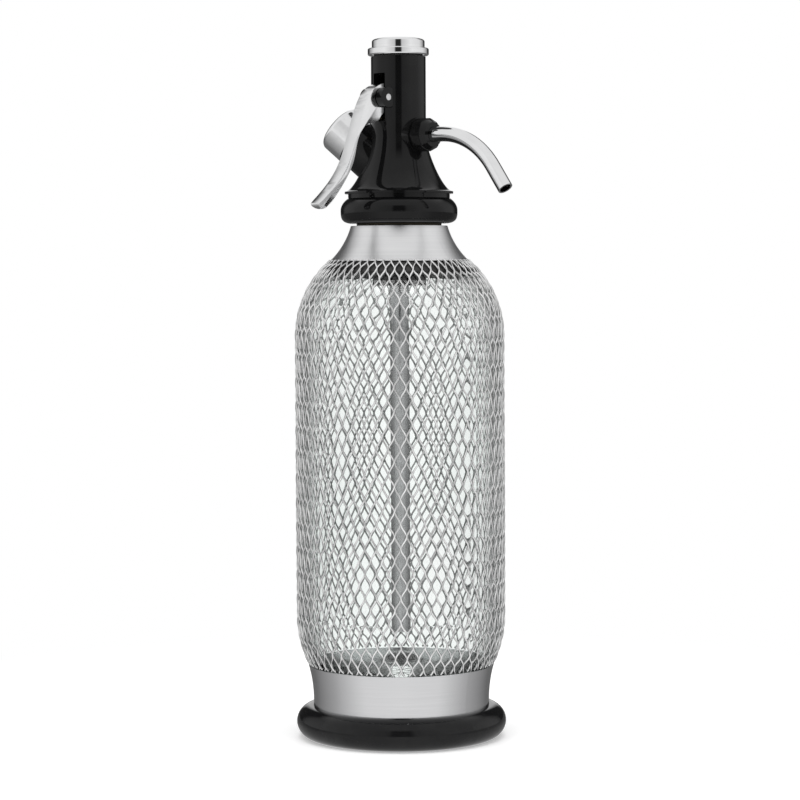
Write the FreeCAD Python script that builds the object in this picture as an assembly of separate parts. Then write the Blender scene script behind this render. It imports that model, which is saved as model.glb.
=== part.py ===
import FreeCAD, Part
import math
import os

# Soda siphon: a glass bottle in a wire sleeve, on a black foot, with a black head
# that carries the lever, the spout and the gas charging port.
# Millimetres. Origin on the table under the middle of the foot, +Z up,
# +X along the spout, and the lever hangs on the -Y side.

# Driving dimensions: foot, band and cushion
foot_tube_radius = 7.6
foot_ring_offset = 0.5
foot_flat_sink = 0.1
foot_floor = 3.0
foot_lip_inset = 5.1
foot_lip_height = 12.0
band_groove_depth = 6.0
band_top_height = 34.5
band_tuck = 0.2
band_flare = 2.4
band_straight_height = 17.0
band_sheet = 0.8
cushion_inner_lap = 6.0
cushion_outer_gap = 3.5

# Driving dimensions: wire sleeve and glass
sleeve_radius = 49.6
sleeve_wall = 1.5
heel_above_band = 23.5
heel_radius = 54.0
shoulder_radius = 48.0
glass_wall = 4.5
glass_shoulder_drop = 1.0
glass_stand_inset = 8.5
glass_punt_height = 12.0
glass_punt_share = 0.6
glass_punt_rise_share = 0.7
glass_floor_share = 0.5
glass_floor_dip = 2.0
glass_base_extra = 7.0
neck_radius = 17.5
neck_wall = 4.5
neck_lip_above_collar = 7.1

# Driving dimensions: collar and neck fittings
collar_rim_radius = 32.3
collar_rim_height = 226.0
collar_rim_edge = 0.44
collar_top_radius = 22.8
collar_height = 15.9
collar_waist_radius = 25.6
collar_waist_share = 0.56
collar_sheet = 1.0
collar_gasket_radius = 36.3
collar_gasket_thickness = 0.6
thread_sleeve_radius = 20.0
thread_sleeve_foot_gap = 0.2
measure_tube_radius = 12.6
measure_tube_wall = 1.2
measure_tube_end = 214.0
flange_thickness = 1.6

# Driving dimensions: riser tube
riser_radius = 4.5
riser_wall = 1.0
riser_end = 50.0

# Driving dimensions: head
head_gap = 1.1
base_ring_radius = 27.6
base_ring_foot_radius = 22.7
base_ring_height = 11.9
base_ring_middle_share = 0.52
base_ring_foot_pull = 0.04
base_ring_lower_pull = 0.26
base_ring_upper_pull = 0.28
step_radius = 24.0
step_height = 2.1
skirt_rim_radius = 25.6
skirt_rim_edge = 1.0
skirt_height = 25.6
skirt_lip_pull = 5.6
skirt_lip_rise = 0.8
skirt_waist_drop = 5.0
column_radius = 12.9
column_height = 78.0
column_bore_radius = 8.0
head_gasket_thickness = 1.3
head_gasket_bore_radius = 13.3
gas_hole_radius = 1.5
gas_hole_foot = 11.5

# Driving dimensions: valve
body_height = 50.0
body_foot_gap = 4.0
chamber_radius = 5.2
seat_height = 29.0
seat_thickness = 4.0
seat_bore_radius = 3.0
piston_fit = 0.1
seal_thickness = 2.5
seal_cup_height = 2.5
stem_radius = 1.8
guide_length = 3.4
groove_length = 1.5
groove_depth = 1.5
lift_collar_radius = 6.0
lift_collar_height = 60.0
lift_collar_length = 2.5
spring_spigot_radius = 2.6
spring_spigot_length = 3.5
spring_wire = 1.0
spring_coil_radius = 4.3
spring_turns = 5

# Driving dimensions: top cap
cap_gasket_thickness = 0.6
cap_gasket_radius = 11.5
cap_flange_radius = 14.4
cap_flange_height = 3.4
cap_dome_radius = 12.45
cap_dome_side = 3.0
cap_dome_height = 5.2
cap_dome_flat_radius = 8.6
cap_dome_pull = 0.4
cap_flange_round = 0.7
cap_plug_length = 7.4
cap_recess_radius = 5.4
cap_crown = 3.4

# Driving dimensions: lever, its slot, ears and pin
lever_angle = -92.0
lever_width = 6.8
lever_pivot_radius = 13.3
lever_pivot_height = 58.5
slot_width = 7.6
slot_bottom = 48.0
slot_top = 70.0
ear_radius = 4.7
ear_spread = 14.8
pin_radius = 1.5
pin_fit = 0.05
fork_gap = 4.3
fork_thickness_share = 0.7
nose_radius = 1.8

# Driving dimensions: side view of the lever, as places out from the pivot and above it.
# Each curve runs to its end past two handles.
lever_crest = (-1.0, 6.7)
lever_brow = ((5.7, 4.9), (9.2, 2.4), (14.7, -13.0))
lever_front = ((20.6, -29.5), (22.0, -35.8), (39.2, -49.3))
lever_tip = ((41.1, -50.8), (36.37, -53.5), (34.5, -51.5))
lever_back = ((15.8, -31.5), (18.7, -28.8), (16.1, -21.3))
lever_crook = ((15.03, -18.2), (12.9, -13.5), (7.8, -12.1))
lever_chin = (2.8, -10.7)
lever_throat = (1.2, -8.6)
lever_throat_handle = (-2.0, -6.0)
fork_root = -6.0

# Driving dimensions: spout
spout_height = 41.0
spout_radius = 3.5
spout_wall = 0.8
spout_start = 9.0
spout_straight = 28.0
spout_bend_radius = 40.0
spout_bend_angle = 53.0
spout_tail = 12.7
spout_boss_radius = 8.3
spout_boss_reach = 14.2
spout_spigot_radius = 5.4
spout_spigot_reach = 18.0
spout_flange_radius = 5.2
spout_flange_length = 1.2
spout_gasket_thickness = 0.8
nut_radius = 7.7
nut_length = 5.6
nut_nose_length = 2.6
nut_nose_radius = 5.7
nut_facets = 8
nut_corner_share = 1.035
valve_port_radius = 2.7

# Driving dimensions: charging port
port_angle = -158.0
port_tilt = 40.6
port_axis_rise = 6.0
port_boss_radius = 11.5
port_boss_reach = 27.4
port_spigot_radius = 9.2
port_spigot_reach = 36.0
port_bore_radius = 6.5
port_bore_start = 20.0
port_cap_radius = 11.8
port_cap_start = 27.8
port_cap_end = 40.2
port_cap_crown = 2.4
port_cap_round = 2.2
port_seal_thickness = 1.5
check_thickness = 0.8
needle_base_length = 2.5
needle_radius = 1.1
needle_length = 3.0

# Clearances
touch_gap = 0.1
seat_gap = 0.05
thread_gap = 0.3
slide_gap = 0.1

# Heights that follow from the stack of pieces
collar_top = collar_rim_height + collar_height
head_base = collar_top + head_gap
step_base = head_base + base_ring_height
rim_height = step_base + step_height
column_base = rim_height + skirt_rim_edge
column_top = head_base + column_height
neck_lip = collar_top + neck_lip_above_collar
flange_top = neck_lip + seat_gap + flange_thickness
gasket_base = flange_top + seat_gap
head_ceiling = gasket_base + head_gasket_thickness + seat_gap
valve_foot = head_ceiling + body_foot_gap
valve_top = head_base + body_height
seat_level = head_base + seat_height
lift_level = head_base + lift_collar_height
spout_level = head_base + spout_height
pivot_level = head_base + lever_pivot_height
cap_base = column_top + seat_gap + cap_gasket_thickness + seat_gap
bore_radius = column_bore_radius
glass_gap = sleeve_wall + touch_gap
glass_radius = sleeve_radius - glass_gap
heel_centre = sleeve_radius - heel_radius
heel_height = band_top_height + heel_above_band
shoulder_centre = sleeve_radius - shoulder_radius
glass_shoulder_arc = shoulder_radius - glass_gap
glass_heel_arc = heel_radius - glass_gap
collar_seat_arc = glass_shoulder_arc + 2 * seat_gap + collar_gasket_thickness
collar_seat_reach = collar_rim_radius - collar_sheet - shoulder_centre
collar_seat_rise = math.sqrt(collar_seat_arc ** 2 - collar_seat_reach ** 2)
glass_shoulder_height = collar_rim_height - collar_rim_edge - collar_seat_rise
shoulder_height = glass_shoulder_height + glass_shoulder_drop

# Radii of the foot and band that follow from the sleeve and the glass
band_top_radius = heel_centre + math.sqrt(heel_radius ** 2 - heel_above_band ** 2) - band_tuck
band_radius = band_top_radius - band_flare
foot_ring_radius = band_radius + foot_ring_offset
foot_lip_radius = band_radius - foot_lip_inset
glass_stand_radius = foot_lip_radius - glass_stand_inset
cushion_inner_radius = glass_stand_radius - cushion_inner_lap
cushion_outer_radius = foot_lip_radius - cushion_outer_gap

Z_AXIS = FreeCAD.Vector(0, 0, 1)
ORIGIN = FreeCAD.Vector(0, 0, 0)


class Outline:
    """A closed outline in the X-Z plane, drawn from point to point."""

    def __init__(self, x, z):
        self.start = FreeCAD.Vector(x, 0, z)
        self.here = self.start
        self.edges = []

    def line(self, x, z):
        end = FreeCAD.Vector(x, 0, z)
        self.edges.append(Part.LineSegment(self.here, end).toShape())
        self.here = end
        return self

    def arc(self, middle, end):
        middle = FreeCAD.Vector(middle[0], 0, middle[1])
        end = FreeCAD.Vector(end[0], 0, end[1])
        self.edges.append(Part.Arc(self.here, middle, end).toShape())
        self.here = end
        return self

    def arc_about(self, centre, end):
        """Shorter arc to end on the circle about centre through the point reached."""
        middle = FreeCAD.Vector(centre[0], 0, centre[1])
        reach = (self.here - middle).Length
        end = FreeCAD.Vector(end[0], 0, end[1])
        halfway = ((self.here - middle).normalize() + (end - middle).normalize()).normalize()
        on_arc = middle + halfway * reach
        return self.arc((on_arc.x, on_arc.z), (end.x, end.z))

    def curve(self, *points):
        curve = Part.BezierCurve()
        curve.setPoles([self.here] + [FreeCAD.Vector(x, 0, z) for x, z in points])
        self.edges.append(curve.toShape())
        self.here = FreeCAD.Vector(points[-1][0], 0, points[-1][1])
        return self

    def face(self):
        if (self.here - self.start).Length > 1e-6:
            self.line(self.start.x, self.start.z)
        return Part.Face(Part.Wire(self.edges))

    def turned(self):
        return self.face().revolve(ORIGIN, Z_AXIS, 360)


def on_circle(centre, radius, x):
    """Height of the upper side of a circle at x."""
    return centre[1] + math.sqrt(radius ** 2 - (x - centre[0]) ** 2)


def under_circle(centre, radius, x):
    """Height of the lower side of a circle at x."""
    return centre[1] - math.sqrt(radius ** 2 - (x - centre[0]) ** 2)


def beside_circle(centre, radius, z):
    """Outward reach of a circle at height z."""
    return centre[0] + math.sqrt(radius ** 2 - (z - centre[1]) ** 2)


def rod(radius, bottom, top):
    return Part.makeCylinder(radius, top - bottom, FreeCAD.Vector(0, 0, bottom))


def ring(inner, outer, bottom, top):
    return rod(outer, bottom, top).cut(rod(inner, bottom, top))


def aimed(shape, origin, direction):
    """A shape drawn along +Z from the origin, laid along a direction from a point."""
    placed = shape.copy()
    turn = FreeCAD.Rotation(Z_AXIS, direction)
    placed.Placement = FreeCAD.Placement(origin, turn).multiply(placed.Placement)
    return placed


def about_axis(angle):
    return FreeCAD.Vector(math.cos(math.radians(angle)), math.sin(math.radians(angle)), 0)


def tidy(shape):
    """One clean solid from the result of cuts and joins."""
    clean = shape.removeSplitter()
    return clean.Solids[0] if len(clean.Solids) == 1 else clean


# Foot: black moulded ring with a flat floor and a groove for the band
def foot():
    centre = (foot_ring_radius, foot_tube_radius - foot_flat_sink)
    flat = math.sqrt(foot_tube_radius ** 2 - centre[1] ** 2)
    groove_outer = band_radius + touch_gap
    groove_inner = band_radius - band_sheet - touch_gap
    groove_base = centre[1] + foot_tube_radius - band_groove_depth
    shape = Outline(0, 0)
    shape.line(foot_ring_radius + flat, 0)
    shape.arc_about(centre, (foot_ring_radius + foot_tube_radius, centre[1]))
    edge = on_circle(centre, foot_tube_radius, groove_outer)
    crest = (centre[0] + foot_tube_radius * math.sqrt(0.5), centre[1] + foot_tube_radius * math.sqrt(0.5))
    shape.arc(crest, (groove_outer, edge))
    shape.line(groove_outer, groove_base)
    shape.line(groove_inner, groove_base)
    shape.line(groove_inner, foot_lip_height)
    shape.line(foot_lip_radius, foot_lip_height)
    shape.line(foot_lip_radius, foot_floor)
    shape.line(0, foot_floor)
    return shape.turned()


# Base band: polished steel ring, pressed into the foot and flaring gently upwards
def base_band():
    bottom = 2 * foot_tube_radius - foot_flat_sink - band_groove_depth + seat_gap
    rise = band_top_height - band_straight_height
    spread = band_top_radius - band_radius
    sweep = (rise ** 2 + spread ** 2) / (2 * spread)
    centre = (band_radius + sweep, band_straight_height)
    shape = Outline(band_radius, bottom)
    shape.line(band_radius, band_straight_height)
    shape.arc_about(centre, (band_top_radius, band_top_height))
    shape.line(band_top_radius - band_sheet, band_top_height)
    shape.arc_about(centre, (band_radius - band_sheet, band_straight_height))
    shape.line(band_radius - band_sheet, bottom)
    return shape.turned()


# Base cushion: rubber ring shaped to the heel of the glass
def base_cushion():
    centre = (heel_centre, heel_height)
    reach = glass_heel_arc + touch_gap
    bottom = foot_floor + seat_gap
    outer = (cushion_outer_radius, under_circle(centre, reach, cushion_outer_radius))
    stand = (glass_stand_radius, under_circle(centre, reach, glass_stand_radius))
    shape = Outline(cushion_inner_radius, bottom)
    shape.line(cushion_outer_radius, bottom)
    shape.line(*outer)
    shape.arc_about(centre, stand)
    shape.line(cushion_inner_radius, stand[1])
    return shape.turned()


# Glass bottle: even wall, rounded heel and shoulder, pushed-up bottom and plain neck
def glass_bottle():
    heel = (heel_centre, heel_height)
    shoulder = (shoulder_centre, glass_shoulder_height)
    inside = glass_radius - glass_wall
    neck_inside = neck_radius - neck_wall
    stand = under_circle(heel, glass_heel_arc, glass_stand_radius)
    inner_stand = under_circle(heel, glass_heel_arc - glass_wall, glass_stand_radius)
    punt = stand + glass_punt_height
    inner_punt = punt + glass_wall + glass_base_extra
    neck_root = on_circle(shoulder, glass_shoulder_arc, neck_radius + neck_wall)
    inner_arc = glass_shoulder_arc - glass_wall
    inner_root = on_circle(shoulder, inner_arc, neck_inside + neck_wall)
    shape = Outline(0, punt)
    punt_side = (glass_stand_radius * glass_punt_share, stand + glass_punt_height * glass_punt_rise_share)
    shape.arc(punt_side, (glass_stand_radius, stand))
    shape.arc_about(heel, (glass_radius, heel_height))
    shape.line(glass_radius, glass_shoulder_height)
    shape.arc_about(shoulder, (neck_radius + neck_wall, neck_root))
    shape.curve((neck_radius + neck_wall / 4, neck_root + neck_wall / 4),
                (neck_radius, neck_root + neck_wall))
    shape.line(neck_radius, neck_lip)
    shape.line(neck_inside, neck_lip)
    shape.line(neck_inside, inner_root + neck_wall)
    shape.curve((neck_inside, inner_root + neck_wall / 4), (neck_inside + neck_wall, inner_root))
    shape.arc_about(shoulder, (inside, glass_shoulder_height))
    shape.line(inside, heel_height)
    shape.arc_about(heel, (glass_stand_radius, inner_stand))
    shape.curve((glass_stand_radius * glass_punt_rise_share, inner_stand - glass_floor_dip),
                (glass_stand_radius * glass_floor_share, inner_punt), (0, inner_punt))
    return shape.turned()


# Wire sleeve: the space that the woven wire fills, from the band to the collar
def wire_sleeve():
    heel = (heel_centre, heel_height)
    shoulder = (shoulder_centre, shoulder_height)
    bottom = band_top_height + touch_gap
    top = collar_rim_radius + touch_gap
    inside = sleeve_radius - sleeve_wall
    shape = Outline(beside_circle(heel, heel_radius, bottom), bottom)
    shape.arc_about(heel, (sleeve_radius, heel_height))
    shape.line(sleeve_radius, shoulder_height)
    shape.arc_about(shoulder, (top, on_circle(shoulder, shoulder_radius, top)))
    shape.line(top, on_circle(shoulder, shoulder_radius - sleeve_wall, top))
    shape.arc_about(shoulder, (inside, shoulder_height))
    shape.line(inside, heel_height)
    shape.arc_about(heel, (beside_circle(heel, heel_radius - sleeve_wall, bottom), bottom))
    return shape.turned()


# Collar gasket: thin black ring that lies on the glass shoulder
def collar_gasket():
    shoulder = (shoulder_centre, glass_shoulder_height)
    inner = neck_radius + neck_wall + touch_gap
    low = glass_shoulder_arc + seat_gap
    high = low + collar_gasket_thickness
    shape = Outline(inner, on_circle(shoulder, low, inner))
    shape.arc_about(shoulder, (collar_gasket_radius, on_circle(shoulder, low, collar_gasket_radius)))
    shape.line(collar_gasket_radius, on_circle(shoulder, high, collar_gasket_radius))
    shape.arc_about(shoulder, (inner, on_circle(shoulder, high, inner)))
    return shape.turned()


# Neck collar: chrome sheet, flared like a trumpet, with a flat top round the thread sleeve
def neck_collar():
    shoulder = (shoulder_centre, glass_shoulder_height)
    hole = thread_sleeve_radius + touch_gap
    waist = collar_rim_height + collar_height * collar_waist_share
    rim_inside = collar_rim_radius - collar_sheet
    rim_foot = on_circle(shoulder, collar_seat_arc, rim_inside)
    shape = Outline(rim_inside, rim_foot)
    shape.line(collar_rim_radius, rim_foot)
    shape.line(collar_rim_radius, collar_rim_height)
    shape.arc((collar_waist_radius, waist), (collar_top_radius, collar_top))
    shape.line(hole, collar_top)
    shape.line(hole, collar_top - collar_sheet)
    shape.line(collar_top_radius - collar_sheet, collar_top - collar_sheet)
    shape.arc((collar_waist_radius - collar_sheet, waist - collar_sheet / 2),
              (rim_inside, collar_rim_height - collar_sheet / 2))
    return shape.turned()


# Thread sleeve: metal ring fixed on the glass neck that the head screws onto
def neck_sleeve():
    inner = neck_radius + touch_gap
    shoulder = (shoulder_centre, glass_shoulder_height)
    neck_root = on_circle(shoulder, glass_shoulder_arc, neck_radius + neck_wall)
    bottom = neck_root + neck_wall + thread_sleeve_foot_gap
    return ring(inner, thread_sleeve_radius, bottom, neck_lip)


# Measuring tube: black tube hung in the neck by its flange
def measuring_tube():
    base = neck_lip + seat_gap
    bore = measure_tube_radius - measure_tube_wall
    tube = ring(bore, measure_tube_radius, measure_tube_end, base + flange_thickness)
    flange = ring(bore, neck_radius, base, base + flange_thickness)
    return tidy(tube.fuse(flange))


# Head gasket: flat ring squeezed between the bottle mouth and the head
def head_gasket():
    top = gasket_base + head_gasket_thickness
    return ring(head_gasket_bore_radius, neck_radius, gasket_base, top)


# Head base ring: rounded black ring with the thread that holds the head on the bottle
def head_base_ring():
    bore = thread_sleeve_radius + thread_gap
    middle = head_base + base_ring_height * base_ring_middle_share
    shape = Outline(bore, head_base)
    shape.line(base_ring_foot_radius, head_base)
    shape.curve((base_ring_radius, head_base + base_ring_height * base_ring_foot_pull),
                (base_ring_radius, middle - base_ring_height * base_ring_lower_pull),
                (base_ring_radius, middle))
    shape.curve((base_ring_radius, middle + base_ring_height * base_ring_upper_pull),
                (step_radius + 3 * touch_gap, step_base), (step_radius, step_base))
    shape.line(bore, step_base)
    return shape.turned()


# Charging port: its pieces stand along one tilted axis
def port_direction():
    flat = about_axis(port_angle) * math.cos(math.radians(port_tilt))
    return flat + Z_AXIS * math.sin(math.radians(port_tilt))


def along_port(shape):
    return aimed(shape, FreeCAD.Vector(0, 0, rim_height + port_axis_rise), port_direction())


def in_port_bore(reach):
    """Point on the port's axis at a distance from the middle of the head."""
    return FreeCAD.Vector(0, 0, rim_height + port_axis_rise) + port_direction() * reach


# Spout: its pieces stand along +X
def along_spout(shape):
    return aimed(shape, FreeCAD.Vector(0, 0, spout_level), FreeCAD.Vector(1, 0, 0))


def on_lever_side(shape):
    """A shape drawn on the +X side, turned to the side of the lever."""
    return shape.rotated(ORIGIN, Z_AXIS, lever_angle)


def cross_pin(radius, length):
    """A rod through the lever's pivot, across the lever."""
    start = FreeCAD.Vector(lever_pivot_radius, -length / 2, pivot_level)
    return on_lever_side(Part.makeCylinder(radius, length, start, FreeCAD.Vector(0, 1, 0)))


# Head shell: black moulding with the column, skirt, step, bosses and ears
def head_shell():
    plug = thread_sleeve_radius
    flare_top = rim_height + skirt_rim_edge + skirt_height
    shape = Outline(bore_radius, head_ceiling)
    shape.line(plug, head_ceiling)
    shape.line(plug, step_base)
    shape.line(step_radius, step_base)
    shape.line(step_radius, rim_height)
    shape.line(skirt_rim_radius, rim_height)
    shape.line(skirt_rim_radius, column_base)
    shape.curve((skirt_rim_radius - skirt_lip_pull, column_base + skirt_lip_rise),
                (column_radius, flare_top - skirt_waist_drop), (column_radius, flare_top))
    shape.line(column_radius, column_top)
    shape.line(bore_radius, column_top)
    shell = shape.turned()
    clear = rod(bore_radius, head_base, column_top)

    boss = along_port(rod(port_boss_radius, 0, port_boss_reach))
    spigot = along_port(rod(port_spigot_radius, port_boss_reach - 1, port_spigot_reach))
    spout_boss = along_spout(rod(spout_boss_radius, 0, spout_boss_reach))
    spout_spigot = along_spout(rod(spout_spigot_radius, spout_boss_reach - 1, spout_spigot_reach))
    ears = cross_pin(ear_radius, ear_spread)
    below = rod(step_radius, 0, step_base)
    solid = shell.fuse([boss.cut(below), spigot, spout_boss, spout_spigot, ears])

    slot = Part.makeBox(lever_pivot_radius + ear_radius + 1, slot_width, slot_top - slot_bottom,
                        FreeCAD.Vector(0, -slot_width / 2, head_base + slot_bottom))
    spout_hole = along_spout(rod(spout_radius + seat_gap, 0, spout_spigot_reach))
    port_bore = along_port(rod(port_bore_radius, port_bore_start, port_spigot_reach))
    hole_top = in_port_bore(port_bore_start + port_bore_radius / 2)
    hole_foot = about_axis(port_angle) * gas_hole_foot + Z_AXIS * (head_ceiling - 1)
    run = hole_top - hole_foot
    gas_hole = Part.makeCylinder(gas_hole_radius, run.Length, hole_foot, run)
    pin_hole = cross_pin(pin_radius, ear_spread)
    cut = solid.cut([clear, on_lever_side(slot), spout_hole, port_bore, gas_hole, pin_hole])
    return tidy(cut)


# Valve body: metal insert with a riser socket, a seat and a chamber that opens to the spout
def valve_body():
    outer = bore_radius - slide_gap
    under_seat = seat_level - seat_thickness
    body = rod(outer, valve_foot, valve_top)
    chamber = rod(chamber_radius, seat_level, valve_top)
    throat = rod(seat_bore_radius, under_seat, seat_level)
    socket = rod(riser_radius + seat_gap, valve_foot, under_seat)
    port = along_spout(rod(valve_port_radius, 0, outer))
    return tidy(body.cut([chamber, throat, socket, port]))


# Riser tube: draws water from the bottom of the bottle up to the valve
def riser_tube():
    return ring(riser_radius - riser_wall, riser_radius, riser_end, seat_level - seat_thickness - seat_gap)


# Riser gasket: ring that seals the tube below the valve body
def riser_gasket():
    outer = bore_radius - slide_gap
    return ring(riser_radius + seat_gap, outer, head_ceiling + seat_gap, valve_foot - seat_gap)


# Valve seal: rubber disc that closes the seat
def valve_seal():
    base = seat_level + seat_gap
    return rod(chamber_radius - 6 * piston_fit, base, base + seal_thickness)


# Valve piston: cup for the seal, stem, guide with a groove, lifting collar and spring spigot
def valve_piston():
    cup = seat_level + 2 * seat_gap + seal_thickness
    guide = spout_level + valve_port_radius + 3 * touch_gap
    groove = guide + (guide_length - groove_length) / 2
    fit = chamber_radius - piston_fit
    shape = Outline(0, cup)
    shape.line(fit, cup)
    shape.line(fit, cup + seal_cup_height)
    shape.line(stem_radius, cup + seal_cup_height)
    shape.line(stem_radius, guide)
    shape.line(fit, guide)
    shape.line(fit, groove)
    shape.line(fit - groove_depth, groove)
    shape.line(fit - groove_depth, groove + groove_length)
    shape.line(fit, groove + groove_length)
    shape.line(fit, guide + guide_length)
    shape.line(stem_radius, guide + guide_length)
    shape.line(stem_radius, lift_level)
    shape.line(lift_collar_radius, lift_level)
    shape.line(lift_collar_radius, lift_level + lift_collar_length)
    shape.line(spring_spigot_radius, lift_level + lift_collar_length)
    shape.line(spring_spigot_radius, lift_level + lift_collar_length + spring_spigot_length)
    shape.line(0, lift_level + lift_collar_length + spring_spigot_length)
    return shape.turned()


# Piston O-ring: seals the guide above the spout passage
def piston_o_ring():
    guide = spout_level + valve_port_radius + 3 * touch_gap
    middle = guide + guide_length / 2
    floor = chamber_radius - piston_fit - groove_depth
    section = (chamber_radius - floor) / 2 - seat_gap
    return Part.makeTorus(floor + seat_gap + section, section, FreeCAD.Vector(0, 0, middle))


# Piston spring: round wire, wound as quarter-turn pairs of arcs, with its ends at rest on both seats
def arc_with_tangent(start, corner, end):
    """Arc from start to end whose end tangents meet at corner."""
    middle = (start + end) * 0.5
    half_chord = (end - start).Length / 2
    half_angle = math.atan2((corner - middle).Length, half_chord)
    rise = half_chord * math.tan(half_angle / 2)
    top = middle + (corner - middle).normalize() * rise
    return Part.Arc(start, top, end).toShape()


def spring_point(angle, pitch, base):
    return FreeCAD.Vector(spring_coil_radius * math.cos(angle), spring_coil_radius * math.sin(angle),
                          base + pitch * angle / (2 * math.pi))


def spring_tangent(angle, pitch):
    rise = pitch / (2 * math.pi)
    return FreeCAD.Vector(-spring_coil_radius * math.sin(angle), spring_coil_radius * math.cos(angle),
                          rise).normalize()


def piston_spring():
    base = lift_level + lift_collar_length + spring_wire / 2 + seat_gap
    top = cap_base + cap_flange_height + cap_dome_height - cap_crown - seat_gap - spring_wire / 2
    pitch = (top - base) / spring_turns
    step = math.pi / 2
    edges = []
    for count in range(4 * spring_turns):
        start = spring_point(count * step, pitch, base)
        end = spring_point((count + 1) * step, pitch, base)
        leave = spring_tangent(count * step, pitch)
        arrive = spring_tangent((count + 1) * step, pitch)
        chord = end - start
        both = leave + arrive
        a = both.dot(both) - 4
        b = -2 * chord.dot(both)
        c = chord.dot(chord)
        reach = (-b - math.sqrt(b * b - 4 * a * c)) / (2 * a)
        if reach < 0:
            reach = (-b + math.sqrt(b * b - 4 * a * c)) / (2 * a)
        first = start + leave * reach
        second = end - arrive * reach
        joint = (first + second) * 0.5
        edges.append(arc_with_tangent(start, first, joint))
        edges.append(arc_with_tangent(joint, second, end))
    path = Part.Wire(edges)
    section = Part.Wire([Part.makeCircle(spring_wire / 2, spring_point(0, pitch, base),
                                         spring_tangent(0, pitch))])
    pipe = Part.BRepOffsetAPI.MakePipeShell(path)
    pipe.add(section)
    pipe.build()
    pipe.makeSolid()
    print("spring: least gap between turns %.2f mm" % (pitch - spring_wire))
    return pipe.shape()


# Cap gasket: flat ring under the top cap
def cap_gasket():
    base = column_top + seat_gap
    return ring(bore_radius + touch_gap, cap_gasket_radius, base, base + cap_gasket_thickness)


# Top cap: chrome screw cap with a domed crown, and a plug that holds the spring
def top_cap():
    plug = bore_radius - thread_gap
    flange_top = cap_base + cap_flange_height
    crown = flange_top + cap_dome_height
    side = flange_top + cap_dome_side
    recess = crown - cap_crown
    bottom = cap_base - cap_plug_length
    shape = Outline(0, recess)
    shape.line(cap_recess_radius, recess)
    shape.line(cap_recess_radius, bottom)
    shape.line(plug, bottom)
    shape.line(plug, cap_base)
    shape.line(cap_flange_radius, cap_base)
    shape.line(cap_flange_radius, flange_top)
    shape.line(cap_dome_radius, flange_top)
    shape.line(cap_dome_radius, side)
    shape.curve((cap_dome_radius, crown - cap_dome_pull), (cap_dome_flat_radius, crown), (0, crown))
    cap = shape.turned()
    edges = [edge for edge in cap.Edges if abs(edge.BoundBox.XMax - cap_flange_radius) < 1e-3
             and edge.BoundBox.ZLength < 1e-3]
    return cap.makeFillet(min(cap_flange_round, cap_flange_height / 3), edges)


# Lever: chrome bar cut to a cam-shaped plate that narrows to a curved arm,
# with a fork inside the head that lifts the collar of the piston
def from_pivot(*places):
    return [(lever_pivot_radius + out, pivot_level + up) for out, up in places]


def lever():
    nose = lift_level - 2 * touch_gap - nose_radius
    nose_place = nose_radius / 3
    fork_top = nose + nose_radius * fork_thickness_share
    root = lever_pivot_radius + fork_root
    shape = Outline(*from_pivot(lever_crest)[0])
    shape.curve(*from_pivot(*lever_brow))
    shape.curve(*from_pivot(*lever_front))
    shape.curve(*from_pivot(*lever_tip))
    shape.curve(*from_pivot(*lever_back))
    shape.curve(*from_pivot(*lever_crook))
    shape.line(*from_pivot(lever_chin)[0])
    shape.line(*from_pivot(lever_throat)[0])
    shape.curve(from_pivot(lever_throat_handle)[0], (root - fork_root / 2, nose - nose_radius),
                (root, nose - nose_radius))
    shape.line(nose_place, nose - nose_radius)
    shape.arc((nose_place - nose_radius, nose), (nose_place, nose + nose_radius))
    shape.line(root, fork_top)
    shape.curve((root - fork_root / 2, fork_top), from_pivot(lever_crest)[0])
    plate = shape.face()
    plate.translate(FreeCAD.Vector(0, -lever_width / 2, 0))
    bar = plate.extrude(FreeCAD.Vector(0, lever_width, 0))
    gap = Part.makeBox(lift_collar_radius + 2 * nose_radius, fork_gap, 6 * nose_radius,
                       FreeCAD.Vector(-2 * nose_radius, -fork_gap / 2, nose - 3 * nose_radius))
    bar = tidy(on_lever_side(bar.cut(gap)))
    return tidy(bar.cut(cross_pin(pin_radius + pin_fit, ear_spread)))


# Pivot pin: steel pin through both ears and the lever
def pivot_pin():
    return cross_pin(pin_radius, ear_spread)


# Spout tube: flanged chrome tube, straight through the nut and then bent down
def spout_path():
    bend = math.radians(spout_bend_angle)
    start = FreeCAD.Vector(spout_start, 0, spout_level)
    turn = FreeCAD.Vector(spout_straight, 0, spout_level)
    centre = turn - Z_AXIS * spout_bend_radius
    halfway = centre + FreeCAD.Vector(math.sin(bend / 2), 0, math.cos(bend / 2)) * spout_bend_radius
    leave = centre + FreeCAD.Vector(math.sin(bend), 0, math.cos(bend)) * spout_bend_radius
    end = leave + FreeCAD.Vector(math.cos(bend), 0, -math.sin(bend)) * spout_tail
    return [Part.LineSegment(start, turn).toShape(), Part.Arc(turn, halfway, leave).toShape(),
            Part.LineSegment(leave, end).toShape()]


def spout_pipe(radius):
    section = Part.Wire([Part.makeCircle(radius, FreeCAD.Vector(spout_start, 0, spout_level),
                                         FreeCAD.Vector(1, 0, 0))])
    pipe = Part.BRepOffsetAPI.MakePipeShell(Part.Wire(spout_path()))
    pipe.add(section)
    pipe.build()
    pipe.makeSolid()
    return pipe.shape()


def spout_tube():
    flange_start = spout_spigot_reach + spout_gasket_thickness + 2 * seat_gap
    flange = along_spout(rod(spout_flange_radius, flange_start, flange_start + spout_flange_length))
    tube = spout_pipe(spout_radius).fuse(flange)
    return tidy(tube.cut(spout_pipe(spout_radius - spout_wall)))


# Spout gasket: flat ring between the boss and the flange of the spout
def spout_gasket():
    base = spout_spigot_reach + seat_gap
    end = base + spout_gasket_thickness
    return along_spout(ring(spout_radius + seat_gap, spout_flange_radius, base, end))


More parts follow.
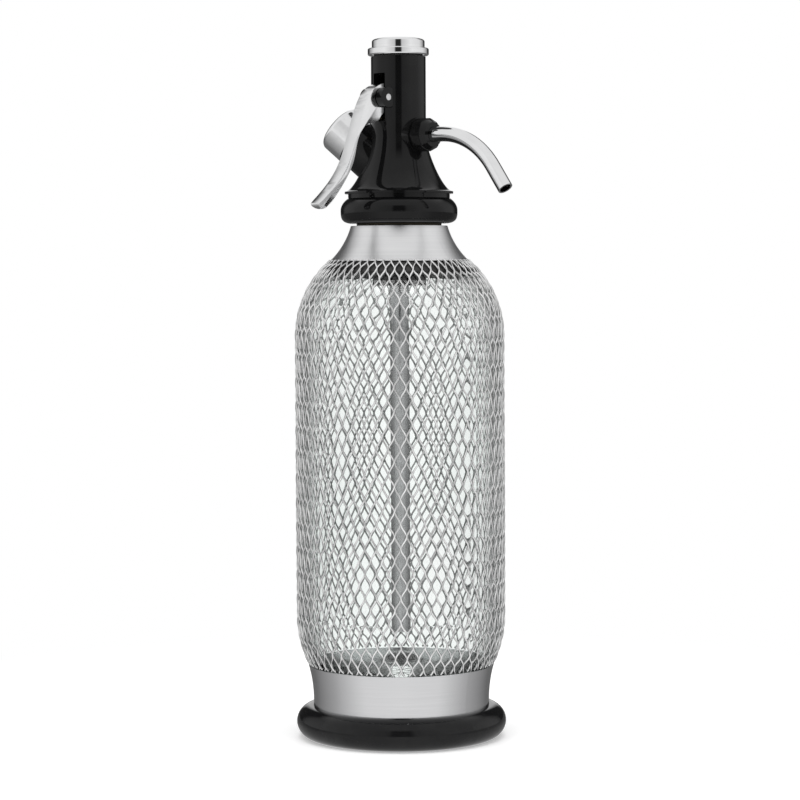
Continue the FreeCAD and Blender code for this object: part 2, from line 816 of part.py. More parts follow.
# Spout nut: black faceted nut with a coned nose, screwed over the boss
def spout_nut():
    base = spout_boss_reach + thread_gap
    nose = base + nut_length
    end = nose + nut_nose_length
    flange_end = spout_spigot_reach + spout_gasket_thickness + spout_flange_length + 3 * seat_gap
    across = nut_radius * math.cos(math.pi / nut_facets)
    barrel = rod(nut_radius, base, nose)
    corners = []
    for count in range(nut_facets + 1):
        angle = 2 * math.pi * count / nut_facets
        reach = nut_radius * nut_corner_share
        corners.append(FreeCAD.Vector(reach * math.cos(angle), reach * math.sin(angle), base))
    prism = Part.Face(Part.makePolygon(corners)).extrude(FreeCAD.Vector(0, 0, nut_length))
    barrel = barrel.common(prism)
    cone = Part.makeCone(across, nut_nose_radius, nut_nose_length, FreeCAD.Vector(0, 0, nose))
    thread = rod(spout_spigot_radius + thread_gap, base, flange_end)
    hole = rod(spout_radius + slide_gap, base, end)
    return along_spout(tidy(barrel.fuse(cone).cut([thread, hole])))


# Port cap: chrome screw cap over the charging port
def port_cap():
    bore = port_spigot_radius + thread_gap
    depth = port_cap_end - port_cap_crown
    cap = rod(port_cap_radius, port_cap_start, port_cap_end)
    rim = [edge for edge in cap.Edges if edge.BoundBox.ZMin > port_cap_end - 1e-3]
    cap = cap.makeFillet(port_cap_round, rim)
    return along_port(tidy(cap.cut(rod(bore, port_cap_start, depth))))


# Port seal: disc inside the port cap
def port_seal():
    base = port_spigot_reach + seat_gap
    return along_port(rod(port_spigot_radius, base, base + port_seal_thickness))


# Gas check valve: rubber flap over the gas hole, with a gap round its edge
def gas_check_valve():
    base = port_bore_start + seat_gap
    return along_port(rod(port_bore_radius - slide_gap, base, base + check_thickness))


# Piercing pin: hollow steel pin on a disc
def piercing_pin():
    base = port_bore_start + 2 * seat_gap + check_thickness
    disc = rod(port_bore_radius - slide_gap, base, base + needle_base_length)
    shaft = rod(needle_radius, base, base + needle_base_length + needle_length)
    tip = Part.makeCone(needle_radius, needle_radius / 3, 2 * needle_radius,
                        FreeCAD.Vector(0, 0, base + needle_base_length + needle_length))
    hole = rod(needle_radius / 3, base, base + needle_base_length + needle_length + 2 * needle_radius)
    return along_port(tidy(disc.fuse([shaft, tip]).cut(hole)))


pieces = [
    foot, base_band, base_cushion, glass_bottle, wire_sleeve, collar_gasket, neck_collar,
    neck_sleeve, measuring_tube, head_gasket, head_base_ring, head_shell, valve_body,
    riser_tube, riser_gasket, valve_seal, valve_piston, piston_o_ring, piston_spring,
    cap_gasket, top_cap, lever, pivot_pin, spout_tube, spout_gasket, spout_nut,
    port_cap, port_seal, gas_check_valve, piercing_pin,
]

os.makedirs("parts", exist_ok=True)
for piece in pieces:
    solid = piece()
    solid.exportStep("parts/" + piece.__name__ + ".step")
    print("%s: %d solid, %.1f mm3, valid %s"
          % (piece.__name__, len(solid.Solids), solid.Volume, solid.isValid()))
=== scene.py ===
import math

import bmesh
import bpy
from mathutils import Matrix, Vector


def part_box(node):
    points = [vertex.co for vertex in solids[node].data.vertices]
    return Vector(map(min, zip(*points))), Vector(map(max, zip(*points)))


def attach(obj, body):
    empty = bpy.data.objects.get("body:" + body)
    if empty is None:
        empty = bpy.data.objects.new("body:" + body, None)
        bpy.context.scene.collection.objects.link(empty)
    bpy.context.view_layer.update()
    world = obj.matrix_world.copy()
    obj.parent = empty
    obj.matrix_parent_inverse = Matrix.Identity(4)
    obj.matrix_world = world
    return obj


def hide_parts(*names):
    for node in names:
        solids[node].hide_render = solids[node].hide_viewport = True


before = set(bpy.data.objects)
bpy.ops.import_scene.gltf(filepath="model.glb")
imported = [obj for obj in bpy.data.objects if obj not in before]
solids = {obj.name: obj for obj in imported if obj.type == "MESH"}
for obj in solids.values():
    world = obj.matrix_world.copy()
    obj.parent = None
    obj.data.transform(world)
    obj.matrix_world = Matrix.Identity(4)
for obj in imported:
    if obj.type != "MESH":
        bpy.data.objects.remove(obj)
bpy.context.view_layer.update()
MM = 0.001


# Camera and studio.
# The siphon is seen from a little above, with the spout to the right and the lever to the left. The room's
# walls are grey by how far they turn from the camera. What is seen directly or through glass is white.
camera_azimuth = math.radians(44.5)
camera_distance = 1.217
camera_height = 0.2237
camera_pitch = math.radians(3.01)
camera_roll = math.radians(-0.29)
camera_lens = 115.9
sensor_width = 36.0
nearest_seen = 0.05
farthest_seen = 50.0
room_levels = ((0.0, 0.02), (0.055, 0.02), (0.085, 0.62), (0.30, 0.92), (0.58, 0.80),
               (0.72, 0.40), (0.80, 0.03), (0.93, 0.03), (0.965, 1.0), (1.0, 1.0))
room_ceiling = 0.84
room_ceiling_start = 0.55
room_ceiling_full = 0.72
lamp_size = 1.4
lamp_power = 12.0
lamp_height = 1.7
lamp_toward_camera = 0.35
floor_levels = ((0.0, 0.90), (0.22, 0.85), (0.45, 0.42), (0.70, 0.16), (1.0, 0.12))
floor_grey = 0.88
floor_roughness = 0.6
floor_shine = 0.1
floor_glow = 0.35
floor_radius = 12.0
floor_segments = 64
floor_lit_radius = 0.16
floor_white_radius = 0.34

scene = bpy.context.scene
scene.view_settings.view_transform = "Standard"
camera_data = bpy.data.cameras.new("camera")
camera_data.lens = camera_lens
camera_data.sensor_width = sensor_width
camera_data.clip_start = nearest_seen
camera_data.clip_end = farthest_seen
camera = bpy.data.objects.new("camera", camera_data)
scene.collection.objects.link(camera)
scene.camera = camera
toward_camera = Vector((math.sin(camera_azimuth), -math.cos(camera_azimuth), 0.0))
camera.location = toward_camera * camera_distance + Vector((0, 0, camera_height))
camera.rotation_euler = (Matrix.Rotation(camera_azimuth, 4, "Z")
                         @ Matrix.Rotation(math.pi / 2 - camera_pitch, 4, "X")
                         @ Matrix.Rotation(camera_roll, 4, "Z")).to_euler()


def add_node(tree, kind, **settings):
    made = tree.nodes.new(kind)
    for name, value in settings.items():
        setattr(made, name, value)
    return made


def sum_node(tree, operation, *values):
    """A Math node whose inputs are links or plain numbers."""
    made = add_node(tree, "ShaderNodeMath", operation=operation)
    for place, value in enumerate(values):
        if isinstance(value, (int, float)):
            made.inputs[place].default_value = value
        else:
            tree.links.new(value, made.inputs[place])
    return made.outputs[0]


def level_ramp(tree, share, levels):
    """Grey levels by share of the half turn away from the camera."""
    ramp = add_node(tree, "ShaderNodeValToRGB")
    tree.links.new(share, ramp.inputs[0])
    stops = ramp.color_ramp.elements
    while len(stops) < len(levels):
        stops.new(0.5)
    for stop, (position, level) in zip(stops, levels):
        stop.position = position
        stop.color = (level, level, level, 1)
    return ramp.outputs[0]


def bearing_share(tree, direction):
    """How far a direction turns away from the camera, from 0 to 1 straight behind, and its height."""
    turn = add_node(tree, "ShaderNodeMapping")
    turn.inputs["Rotation"].default_value = (0, 0, -camera_azimuth)
    tree.links.new(direction, turn.inputs["Vector"])
    parts = add_node(tree, "ShaderNodeSeparateXYZ")
    tree.links.new(turn.outputs[0], parts.inputs[0])
    forward = sum_node(tree, "MULTIPLY", parts.outputs["Y"], -1.0)
    bearing = sum_node(tree, "ARCTAN2", parts.outputs["X"], forward)
    return sum_node(tree, "DIVIDE", sum_node(tree, "ABSOLUTE", bearing), math.pi), parts.outputs["Z"]


world = bpy.data.worlds.new("white_room")
scene.world = world
world.use_nodes = True
tree = world.node_tree
tree.nodes.clear()
place = add_node(tree, "ShaderNodeTexCoord")
share, rise = bearing_share(tree, place.outputs["Generated"])
walls = level_ramp(tree, share, room_levels)
above = add_node(tree, "ShaderNodeMapRange", interpolation_type="SMOOTHSTEP")
tree.links.new(rise, above.inputs["Value"])
above.inputs["From Min"].default_value = room_ceiling_start
above.inputs["From Max"].default_value = room_ceiling_full
seen = add_node(tree, "ShaderNodeMix", data_type="RGBA")
tree.links.new(above.outputs[0], seen.inputs["Factor"])
tree.links.new(walls, seen.inputs["A"])
seen.inputs["B"].default_value = (room_ceiling, room_ceiling, room_ceiling, 1)
path = add_node(tree, "ShaderNodeLightPath")
not_mirror = sum_node(tree, "LESS_THAN", path.outputs["Glossy Depth"], 0.5)
through_glass = sum_node(tree, "MULTIPLY", path.outputs["Is Transmission Ray"], not_mirror)
plain = sum_node(tree, "MAXIMUM", path.outputs["Is Camera Ray"], through_glass)
room = add_node(tree, "ShaderNodeBackground")
tree.links.new(seen.outputs["Result"], room.inputs["Color"])
white = add_node(tree, "ShaderNodeBackground")
white.inputs["Color"].default_value = (1, 1, 1, 1)
both = add_node(tree, "ShaderNodeMixShader")
tree.links.new(plain, both.inputs[0])
tree.links.new(room.outputs[0], both.inputs[1])
tree.links.new(white.outputs[0], both.inputs[2])
output = add_node(tree, "ShaderNodeOutputWorld")
tree.links.new(both.outputs[0], output.inputs["Surface"])

lamp_data = bpy.data.lights.new("ceiling_lamp", "AREA")
lamp_data.shape = "DISK"
lamp_data.size = lamp_size
lamp_data.energy = lamp_power
lamp = bpy.data.objects.new("ceiling_lamp", lamp_data)
scene.collection.objects.link(lamp)
lamp.location = toward_camera * lamp_toward_camera + Vector((0, 0, lamp_height))
lamp.rotation_euler = (-lamp.location).to_track_quat("-Z", "Y").to_euler()
lamp.visible_glossy = False


def new_finish(name):
    """An empty node material with its output, one principled shader and a link to Object coordinates."""
    material = bpy.data.materials.new(name)
    material.use_nodes = True
    tree = material.node_tree
    tree.nodes.clear()
    output = add_node(tree, "ShaderNodeOutputMaterial")
    shader = add_node(tree, "ShaderNodeBsdfPrincipled")
    tree.links.new(shader.outputs[0], output.inputs["Surface"])
    place = add_node(tree, "ShaderNodeTexCoord")
    return material, tree, shader, place.outputs["Object"]


floor_mesh = bpy.data.meshes.new("floor")
floor = bpy.data.objects.new("floor", floor_mesh)
scene.collection.objects.link(floor)
form = bmesh.new()
bmesh.ops.create_circle(form, cap_ends=True, segments=floor_segments, radius=floor_radius)
form.to_mesh(floor_mesh)
form.free()
floor_paint, tree, shader, place = new_finish("floor_paint")
shader.inputs["Base Color"].default_value = (floor_grey, floor_grey, floor_grey, 1)
shader.inputs["Roughness"].default_value = floor_roughness
shader.inputs["Specular IOR Level"].default_value = floor_shine
glow = add_node(tree, "ShaderNodeEmission")
glow.inputs["Strength"].default_value = floor_glow
lit = add_node(tree, "ShaderNodeAddShader")
tree.links.new(shader.outputs[0], lit.inputs[0])
tree.links.new(glow.outputs[0], lit.inputs[1])
away = add_node(tree, "ShaderNodeVectorMath", operation="LENGTH")
tree.links.new(place, away.inputs[0])
fade = add_node(tree, "ShaderNodeMapRange", interpolation_type="SMOOTHSTEP")
tree.links.new(away.outputs["Value"], fade.inputs["Value"])
fade.inputs["From Min"].default_value = floor_lit_radius
fade.inputs["From Max"].default_value = floor_white_radius
path = add_node(tree, "ShaderNodeLightPath")
white_share = sum_node(tree, "MAXIMUM", fade.outputs[0], path.outputs["Is Transmission Ray"])
in_mirror = sum_node(tree, "GREATER_THAN", path.outputs["Glossy Depth"], 0.5)
not_mirror = sum_node(tree, "SUBTRACT", 1.0, in_mirror)
mirrored = add_node(tree, "ShaderNodeEmission")
tree.links.new(level_ramp(tree, bearing_share(tree, place)[0], floor_levels), mirrored.inputs["Color"])
real = add_node(tree, "ShaderNodeMixShader")
tree.links.new(in_mirror, real.inputs[0])
tree.links.new(lit.outputs[0], real.inputs[1])
tree.links.new(mirrored.outputs[0], real.inputs[2])
white = add_node(tree, "ShaderNodeEmission")
both = add_node(tree, "ShaderNodeMixShader")
tree.links.new(sum_node(tree, "MULTIPLY", white_share, not_mirror), both.inputs[0])
tree.links.new(real.outputs[0], both.inputs[1])
tree.links.new(white.outputs[0], both.inputs[2])
output = next(piece for piece in tree.nodes if piece.type == "OUTPUT_MATERIAL")
tree.links.new(both.outputs[0], output.inputs["Surface"])
floor_mesh.materials.append(floor_paint)


# Foot.
# A thick black ring of glossy moulded plastic with a flat floor. It carries the whole bottle, and a groove
# in its crown holds the steel band. Its skin has a faint orange peel and fine handling marks.
foot_black = (0.007, 0.007, 0.0075)
foot_scuff = (0.016, 0.016, 0.016)
foot_polish = 0.04
foot_peel = 0.06
plastic_shine = 0.23
rub_scale = 70
haze_scale = 35
haze_spread = 0.07
peel_scale = 320
peel_height = 0.02 * MM
scratch_scale = 2600
scratch_height = 0.003 * MM


def noise(tree, place, scale, stretch=(1, 1, 1), detail=3.0):
    """Noise on the piece's own coordinates, with features about 1/scale metres wide."""
    turn = add_node(tree, "ShaderNodeMapping")
    turn.inputs["Scale"].default_value = stretch
    tree.links.new(place, turn.inputs["Vector"])
    made = add_node(tree, "ShaderNodeTexNoise")
    made.inputs["Scale"].default_value = scale
    made.inputs["Detail"].default_value = detail
    tree.links.new(turn.outputs[0], made.inputs["Vector"])
    return made.outputs["Fac"]


def spread(tree, value, low, high, start=0.3, end=0.7):
    """A 0 to 1 pattern spread between two values."""
    made = add_node(tree, "ShaderNodeMapRange")
    tree.links.new(value, made.inputs["Value"])
    made.inputs["From Min"].default_value = start
    made.inputs["From Max"].default_value = end
    made.inputs["To Min"].default_value = low
    made.inputs["To Max"].default_value = high
    return made.outputs[0]


def two_tone(tree, value, first, second, start=0.35, end=0.75):
    """Two colours mixed by a pattern."""
    ramp = add_node(tree, "ShaderNodeValToRGB")
    ramp.color_ramp.elements[0].position = start
    ramp.color_ramp.elements[0].color = (*first, 1)
    ramp.color_ramp.elements[1].position = end
    ramp.color_ramp.elements[1].color = (*second, 1)
    tree.links.new(value, ramp.inputs[0])
    return ramp.outputs[0]


def relief(tree, shader, value, height, strength, under=None):
    """Bump from a pattern of a real height in metres, on top of another bump if there is one."""
    bump = add_node(tree, "ShaderNodeBump")
    bump.inputs["Strength"].default_value = strength
    bump.inputs["Distance"].default_value = height
    tree.links.new(value, bump.inputs["Height"])
    if under:
        tree.links.new(under, bump.inputs["Normal"])
    tree.links.new(bump.outputs[0], shader.inputs["Normal"])
    return bump.outputs[0]


def moulded_plastic(name, colour, scuffed, gloss, peel):
    """Glossy black moulding: orange peel, uneven shine and faint greyer rubs."""
    material, tree, shader, place = new_finish(name)
    rubs = noise(tree, place, rub_scale, detail=6.0)
    tree.links.new(two_tone(tree, rubs, colour, scuffed, 0.5, 0.85), shader.inputs["Base Color"])
    haze = noise(tree, place, haze_scale, stretch=(1, 1, 2.5), detail=8.0)
    tree.links.new(spread(tree, haze, gloss, gloss + haze_spread), shader.inputs["Roughness"])
    shader.inputs["Specular IOR Level"].default_value = plastic_shine
    skin = relief(tree, shader, noise(tree, place, peel_scale, detail=1.0), peel_height, peel)
    scratches = noise(tree, place, scratch_scale, stretch=(1, 1, 0.15), detail=2.0)
    relief(tree, shader, scratches, scratch_height, 0.1, skin)
    return material


def dress(name, material):
    """Give a CAD node its finish."""
    solids[name].data.materials.clear()
    solids[name].data.materials.append(material)


dress("foot", moulded_plastic("foot_plastic", foot_black, foot_scuff, foot_polish, foot_peel))


# Base band.
# A ring of thin stainless sheet, flared gently upwards and pressed into the foot's groove. It was polished
# on a lathe, so fine lines run round it and blur what it mirrors up and down.
band_steel = (0.70, 0.70, 0.71)
band_steel_bright = (0.76, 0.76, 0.77)
band_polish = 0.17
band_lines = (0.6, 0.6, 130)
band_line_height = 0.0008 * MM
polish_line_scale = 40
smear_scale = 55


def turned_metal(name, dull, bright, polish, stretch, line_height, smudge=0.06):
    """Metal with fine polishing lines across the stretched axis, and soft smudges."""
    material, tree, shader, place = new_finish(name)
    lines = noise(tree, place, polish_line_scale, stretch=stretch, detail=4.0)
    tree.links.new(two_tone(tree, lines, dull, bright), shader.inputs["Base Color"])
    shader.inputs["Metallic"].default_value = 1.0
    smears = noise(tree, place, smear_scale, detail=7.0)
    tree.links.new(spread(tree, smears, polish, polish + smudge), shader.inputs["Roughness"])
    relief(tree, shader, lines, line_height, 0.35)
    return material


band_metal = turned_metal("band_steel", band_steel, band_steel_bright, band_polish, band_lines,
                          band_line_height)
dress("base_band", band_metal)


# Base cushion.
# A pale grey rubber ring moulded to the heel of the glass, so that the bottle doesn't knock on the foot.
# It lies loose inside the band and is held down by the bottle.
cushion_grey = (0.24, 0.24, 0.24)
cushion_bloom = (0.38, 0.38, 0.38)
rubber_black = (0.018, 0.018, 0.018)
rubber_bloom = (0.05, 0.05, 0.048)
bloom_scale = 110
matt_scale = 240
grain_scale = 1800
grain_height = 0.02 * MM


def moulded_rubber(name, colour, bloom):
    """Matt rubber with a fine grain and a pale bloom in patches."""
    material, tree, shader, place = new_finish(name)
    patches = noise(tree, place, bloom_scale, detail=8.0)
    tree.links.new(two_tone(tree, patches, colour, bloom), shader.inputs["Base Color"])
    tree.links.new(spread(tree, noise(tree, place, matt_scale), 0.5, 0.75), shader.inputs["Roughness"])
    relief(tree, shader, noise(tree, place, grain_scale, detail=2.0), grain_height, 0.3)
    return material


seal_rubber = moulded_rubber("seal_rubber", rubber_black, rubber_bloom)
dress("base_cushion", moulded_rubber("cushion_rubber", cushion_grey, cushion_bloom))


# Glass bottle.
# A thick blown bottle of clear soda glass, with a pushed-up bottom and a plain neck. The mould and the
# blowing leave slow waves in its wall, and a faint green shows where the glass is seen edge on.
glass_tint = (0.965, 0.99, 0.98)
glass_clear = (0.995, 1.0, 0.998)
glass_bending = 1.5
tint_scale = 12
film_scale = 90
film_haze = 0.025
blown_wave_scale = 28
blown_wave_height = 0.15 * MM

bottle_glass, tree, shader, place = new_finish("bottle_glass")
tint = two_tone(tree, noise(tree, place, tint_scale), glass_tint, glass_clear)
tree.links.new(tint, shader.inputs["Base Color"])
shader.inputs["Transmission Weight"].default_value = 1.0
shader.inputs["IOR"].default_value = glass_bending
film = noise(tree, place, film_scale, detail=6.0)
tree.links.new(spread(tree, film, 0.0, film_haze), shader.inputs["Roughness"])
blown_waves = noise(tree, place, blown_wave_scale, stretch=(1, 1, 0.45), detail=1.0)
relief(tree, shader, blown_waves, blown_wave_height, 0.12)
dress("glass_bottle", bottle_glass)


# Wire sleeve.
# Two families of bright steel wire cross over and under each other in a diamond net, drawn over the glass
# as a guard. The wires end under the collar at the top and inside the steel band at the bottom.
wire_count = 55
wire_radius = 0.46 * MM
wire_weave = 0.28 * MM
half_row = 5.68 * MM
samples_per_half_row = 6
knot_middle = 0.35
knot_ends = 0.65
sleeve_wall = 1.5 * MM
shoulder_height = 190.0 * MM
shoulder_arc = 48.0 * MM
heel_height = 58.0 * MM
heel_arc = 54.0 * MM
wire_top_radius = 32.6 * MM
wire_foot_gap = 0.5 * MM
wire_start = camera_azimuth - math.pi / 2
sleeve_low, sleeve_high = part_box("wire_sleeve")
sleeve_radius = (sleeve_high.x - sleeve_low.x) / 2
wall_middle = sleeve_radius - sleeve_wall / 2
shoulder_bend = shoulder_arc - sleeve_wall / 2
shoulder_centre = sleeve_radius - shoulder_arc
heel_bend = heel_arc - sleeve_wall / 2
heel_centre = sleeve_radius - heel_arc
shoulder_sweep = math.acos((wire_top_radius - shoulder_centre) / shoulder_bend)
heel_sweep = math.asin((heel_height - sleeve_low.z - wire_foot_gap) / heel_bend)
shoulder_run = shoulder_bend * shoulder_sweep
straight_run = shoulder_height - heel_height
wire_run = shoulder_run + straight_run + heel_bend * heel_sweep


def sleeve_point(distance):
    """Radius, height and outward lean of the sleeve's wall at a distance down from the collar."""
    if distance < shoulder_run:
        lean = shoulder_sweep - distance / shoulder_bend
        radius = shoulder_centre + shoulder_bend * math.cos(lean)
        return radius, shoulder_height + shoulder_bend * math.sin(lean), lean
    distance -= shoulder_run
    if distance < straight_run:
        return wall_middle, shoulder_height - distance, 0.0
    lean = -(distance - straight_run) / heel_bend
    return heel_centre + heel_bend * math.cos(lean), heel_height + heel_bend * math.sin(lean), lean


def mesh_piece(name, curve):
    """A curve made into a mesh piece at the origin."""
    drawn = bpy.data.objects.new(name + "_curve", curve)
    scene.collection.objects.link(drawn)
    ready = drawn.evaluated_get(bpy.context.evaluated_depsgraph_get())
    mesh = bpy.data.meshes.new_from_object(ready)
    bpy.data.objects.remove(drawn)
    mesh.name = name
    mesh.shade_smooth()
    made = bpy.data.objects.new(name, mesh)
    scene.collection.objects.link(made)
    return made


def sleeve_wires(name, side):
    """One family of wires, winding to one side, as round tubes."""
    curve = bpy.data.curves.new(name, "CURVE")
    curve.dimensions = "3D"
    curve.bevel_depth = wire_radius
    curve.bevel_resolution = 1
    curve.use_fill_caps = True
    count = int(wire_run / half_row * samples_per_half_row)
    for wire in range(wire_count):
        spline = curve.splines.new("POLY")
        spline.points.add(count)
        for step, point in enumerate(spline.points):
            distance = wire_run * step / count
            rows = distance / half_row
            knot = knot_middle + (knot_ends - knot_middle) * abs(2 * distance / wire_run - 1.0)
            wound = rows - knot * math.sin(2 * math.pi * rows) / (2 * math.pi)
            angle = (2 * wire + side * wound) * math.pi / wire_count + wire_start
            radius, height, lean = sleeve_point(distance)
            lift = side * wire_weave * math.cos(math.pi * rows)
            radius += lift * math.cos(lean)
            height += lift * math.sin(lean)
            point.co = (radius * math.cos(angle), radius * math.sin(angle), height, 1.0)
    return mesh_piece(name, curve)


wire_dull = (0.66, 0.66, 0.66)
wire_bright = (0.93, 0.93, 0.93)
wire_polish = 0.04
# Painted shade: the wire's colour darkens towards this grey within this reach of other surfaces.
painted_shade_reach = 1.2 * MM
crevice_painted_shade = (0.25, 0.25, 0.25)
tarnish_scale = 160
shine_scale = 420
die_mark_scale = 4200
die_mark_height = 0.003 * MM


def drawn_wire(name, dull, bright, polish):
    """Bright wire with die marks, slight tarnish, uneven shine and painted shade, darker where wires touch.
    """
    material, tree, shader, place = new_finish(name)
    tarnish = noise(tree, place, tarnish_scale, detail=6.0)
    shade = two_tone(tree, tarnish, dull, bright, 0.25, 0.6)
    # Painted shade: ambient occlusion darkens the colour where wires touch each other and lie close to
    # other surfaces.
    occlusion_shade = add_node(tree, "ShaderNodeAmbientOcclusion", samples=6)
    occlusion_shade.inputs["Distance"].default_value = painted_shade_reach
    shaded_colour = add_node(tree, "ShaderNodeMix", data_type="RGBA")
    tree.links.new(spread(tree, occlusion_shade.outputs["AO"], 0.0, 1.0, 0.15, 0.75), shaded_colour.inputs["Factor"])
    shaded_colour.inputs["A"].default_value = (*crevice_painted_shade, 1)
    tree.links.new(shade, shaded_colour.inputs["B"])
    tree.links.new(shaded_colour.outputs["Result"], shader.inputs["Base Color"])
    shader.inputs["Metallic"].default_value = 1.0
    shine = spread(tree, noise(tree, place, shine_scale), polish, polish + 0.12)
    tree.links.new(shine, shader.inputs["Roughness"])
    die_marks = noise(tree, place, die_mark_scale, stretch=(1, 1, 0.3))
    relief(tree, shader, die_marks, die_mark_height, 0.25)
    return material


sleeve_wire = drawn_wire("sleeve_wire", wire_dull, wire_bright, wire_polish)
for name, side in (("sleeve_wires_right", 1), ("sleeve_wires_left", -1)):
    net = sleeve_wires(name, side)
    net.data.materials.append(sleeve_wire)
    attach(net, "bottle")
    if side == 1:
        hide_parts("wire_sleeve")


# Collar gasket.
# A thin black rubber ring that lies on the glass shoulder under the collar. It shows as a dark band
# through the net just below the collar's rim.
dress("collar_gasket", seal_rubber)


# Neck collar.
# A flared collar of thin chromed brass sheet, spun on a former, which covers the join of bottle and head
# and holds the wires' ends down. Its chrome is bright but soft, with the former's fine lines round it.
chrome_shade = (0.82, 0.822, 0.83)
chrome_bright = (0.88, 0.882, 0.886)
collar_polish = 0.30
collar_lines = (0.5, 0.5, 90)
collar_line_height = 0.0006 * MM
dress("neck_collar", turned_metal("collar_chrome", chrome_shade, chrome_bright, collar_polish,
                                  collar_lines, collar_line_height))


# Thread sleeve.
# A turned metal ring fixed on the glass neck. The head screws onto it, so its outside carries the thread.
# It is coloured near black all over, with faint browner lines round it, and shows dark in the narrow gap
# above the collar.
thread_black = (0.02, 0.018, 0.015)
thread_worn = (0.10, 0.085, 0.06)
thread_polish = 0.4
thread_lines = (0.5, 0.5, 45)
thread_line_height = 0.02 * MM
thread_smudge = 0.2
dress("neck_sleeve", turned_metal("thread_brass", thread_black, thread_worn, thread_polish, thread_lines,
                                  thread_line_height, thread_smudge))


# Measuring tube and riser tube.
# A satin black plastic tube hangs in the neck and sets the filling level. The riser is a drawn steel tube
# down to the bottle's bottom, which shows through the net as a grey line with dark edges.
tube_black = (0.012, 0.012, 0.012)
tube_scuff = (0.03, 0.03, 0.03)
tube_polish = 0.3
tube_peel = 0.2
riser_dull = (0.42, 0.42, 0.43)
riser_bright = (0.6, 0.6, 0.6)
riser_polish = 0.06
riser_lines = (60, 60, 0.5)
riser_line_height = 0.004 * MM
riser_smudge = 0.12
dress("measuring_tube", moulded_plastic("tube_plastic", tube_black, tube_scuff, tube_polish, tube_peel))
dress("riser_tube", turned_metal("riser_steel", riser_dull, riser_bright, riser_polish, riser_lines,
                                 riser_line_height, riser_smudge))


# Head: base ring, shell and nut.
# Black moulded plastic with a deep gloss, in three pieces: the ring that screws onto the bottle, the shell
# with its column, skirt and bosses, and the faceted nut that holds the spout.
head_black = (0.005, 0.005, 0.0052)
head_scuff = (0.012, 0.012, 0.012)
head_polish = 0.035
head_peel = 0.05
head_plastic = moulded_plastic("head_plastic", head_black, head_scuff, head_polish, head_peel)
for name in ("head_base_ring", "head_shell", "spout_nut"):
    dress(name, head_plastic)


# Valve.
# A brass insert fills the column, with a brass piston in it that a steel spring presses on its rubber seal.
# It hides inside the head, and only the piston's top shows, in the slot over the lever.
brass_dull = (0.52, 0.38, 0.17)
brass_bright = (0.74, 0.60, 0.33)
brass_polish = 0.12
brass_lines = (0.5, 0.5, 25)
brass_line_height = 0.006 * MM
brass_smudge = 0.15
spring_dull = (0.45, 0.45, 0.46)
spring_bright = (0.7, 0.7, 0.7)
spring_polish = 0.15
valve_brass = turned_metal("valve_brass", brass_dull, brass_bright, brass_polish, brass_lines,
                           brass_line_height, brass_smudge)
dress("valve_body", valve_brass)
dress("valve_piston", valve_brass)
dress("piston_spring", drawn_wire("spring_wire", spring_dull, spring_bright, spring_polish))
for name in ("riser_gasket", "valve_seal", "piston_o_ring", "head_gasket"):
    dress(name, seal_rubber)


# Top cap.
# A chromed screw cap with a flat flange and a domed crown, turned from bar and polished. It closes the
# column over the spring, on a thin rubber ring.
fine_polish = 0.03
fine_smudge = 0.03
fine_line_height = 0.0003 * MM
cap_lines = (0.5, 0.5, 40)
dress("top_cap", turned_metal("cap_chrome", chrome_shade, chrome_bright, fine_polish, cap_lines,
                              fine_line_height, fine_smudge))
dress("cap_gasket", seal_rubber)


# Lever.
# A chromed cast lever on a steel pin between two ears. Its long edges and its tip are rounded for the
# hand, and a fork at its inner end lifts the piston. It was ground by hand, so its shine waves a little.
lever_edge_round = 1.5 * MM
lever_edge_steps = 4
lever_outside = 19.0 * MM
flat_enough = math.radians(0.8)
sharp_corner = math.radians(50)
crease = math.radians(32)
tip_round_height = 5.0 * MM
tip_round_share = 0.9
lever_bearing = math.radians(-92.0)
across_lever = Vector((-math.sin(lever_bearing), math.cos(lever_bearing)))
double_gap = 0.002 * MM
grind_scale = 120
lever_polish = 0.10
lever_polish_worn = 0.15
lever_shine_scale = 60
lever_wave_scale = 60
lever_wave_height = 0.03 * MM
lever_grain_scale = 1500
lever_grain_height = 0.0004 * MM

form = bmesh.new()
form.from_mesh(solids["lever"].data)
bmesh.ops.remove_doubles(form, verts=form.verts, dist=double_gap)
bmesh.ops.dissolve_limit(form, angle_limit=flat_enough, verts=form.verts, edges=form.edges)
long_edges = [edge for edge in form.edges
              if len(edge.link_faces) == 2 and edge.calc_face_angle(0) > sharp_corner
              and all(vert.co.xy.length > lever_outside for vert in edge.verts)]
bmesh.ops.bevel(form, geom=long_edges, offset=lever_edge_round, offset_type="OFFSET",
                affect="EDGES", segments=lever_edge_steps, profile=0.5, material=-1,
                clamp_overlap=True)
tip_bottom = min(vert.co.z for vert in form.verts)
for vert in form.verts:
    into_tip = 1.0 - (vert.co.z - tip_bottom) / tip_round_height
    if into_tip > 0:
        across = vert.co.xy.dot(across_lever)
        narrower = across * (math.sqrt(1.0 - tip_round_share * into_tip ** 2) - 1.0)
        vert.co.xy += across_lever * narrower
for edge in form.edges:
    edge.smooth = edge.calc_face_angle(0) < crease
for face in form.faces:
    face.smooth = True
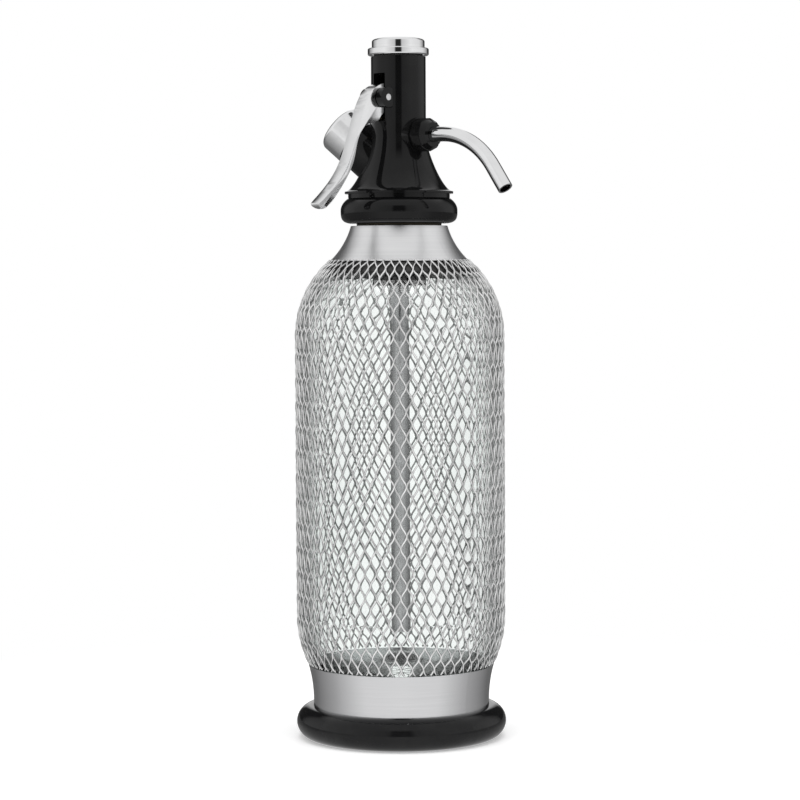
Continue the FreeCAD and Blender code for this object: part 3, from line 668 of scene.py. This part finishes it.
lever_mesh = bpy.data.meshes.new("lever_bar")
form.to_mesh(lever_mesh)
form.free()
lever_bar = bpy.data.objects.new("lever_bar", lever_mesh)
scene.collection.objects.link(lever_bar)

lever_chrome, tree, shader, place = new_finish("lever_chrome")
grind = noise(tree, place, grind_scale, detail=2.0)
tree.links.new(two_tone(tree, grind, chrome_shade, chrome_bright), shader.inputs["Base Color"])
shader.inputs["Metallic"].default_value = 1.0
wear = noise(tree, place, lever_shine_scale, detail=8.0)
tree.links.new(spread(tree, wear, lever_polish, lever_polish_worn), shader.inputs["Roughness"])
lever_waves = noise(tree, place, lever_wave_scale, detail=0.0)
waves = relief(tree, shader, lever_waves, lever_wave_height, 0.1)
lever_grain = noise(tree, place, lever_grain_scale, detail=3.0)
relief(tree, shader, lever_grain, lever_grain_height, 0.2, waves)
lever_mesh.materials.append(lever_chrome)
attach(lever_bar, "lever")
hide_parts("lever")

pin_dull = (0.55, 0.55, 0.56)
pin_bright = (0.78, 0.78, 0.78)
pin_polish = 0.1
pin_lines = (20, 20, 20)
pin_line_height = 0.002 * MM
pin_steel = turned_metal("pin_steel", pin_dull, pin_bright, pin_polish, pin_lines, pin_line_height)
dress("pivot_pin", pin_steel)


# Spout.
# A chromed tube, straight out of the boss through the nut and then bent down, with a flange that the nut
# presses on a thin rubber ring. The bend left faint ripples in the tube.
spout_lines = (0.4, 8, 8)
dress("spout_tube", turned_metal("spout_chrome", chrome_shade, chrome_bright, fine_polish, spout_lines,
                                 fine_line_height, fine_smudge))
dress("spout_gasket", seal_rubber)


# Charging port.
# A chromed screw cap closes the tilted port on a rubber disc. Under it a hollow steel pin stands on a
# rubber flap, which lets the gas in and keeps the water out.
port_polish = 0.10
port_smudge = 0.05
port_lines = (14, 14, 14)
dress("port_cap", turned_metal("port_chrome", chrome_shade, chrome_bright, port_polish, port_lines,
                               fine_line_height, port_smudge))
dress("piercing_pin", pin_steel)
dress("port_seal", seal_rubber)
dress("gas_check_valve", seal_rubber)
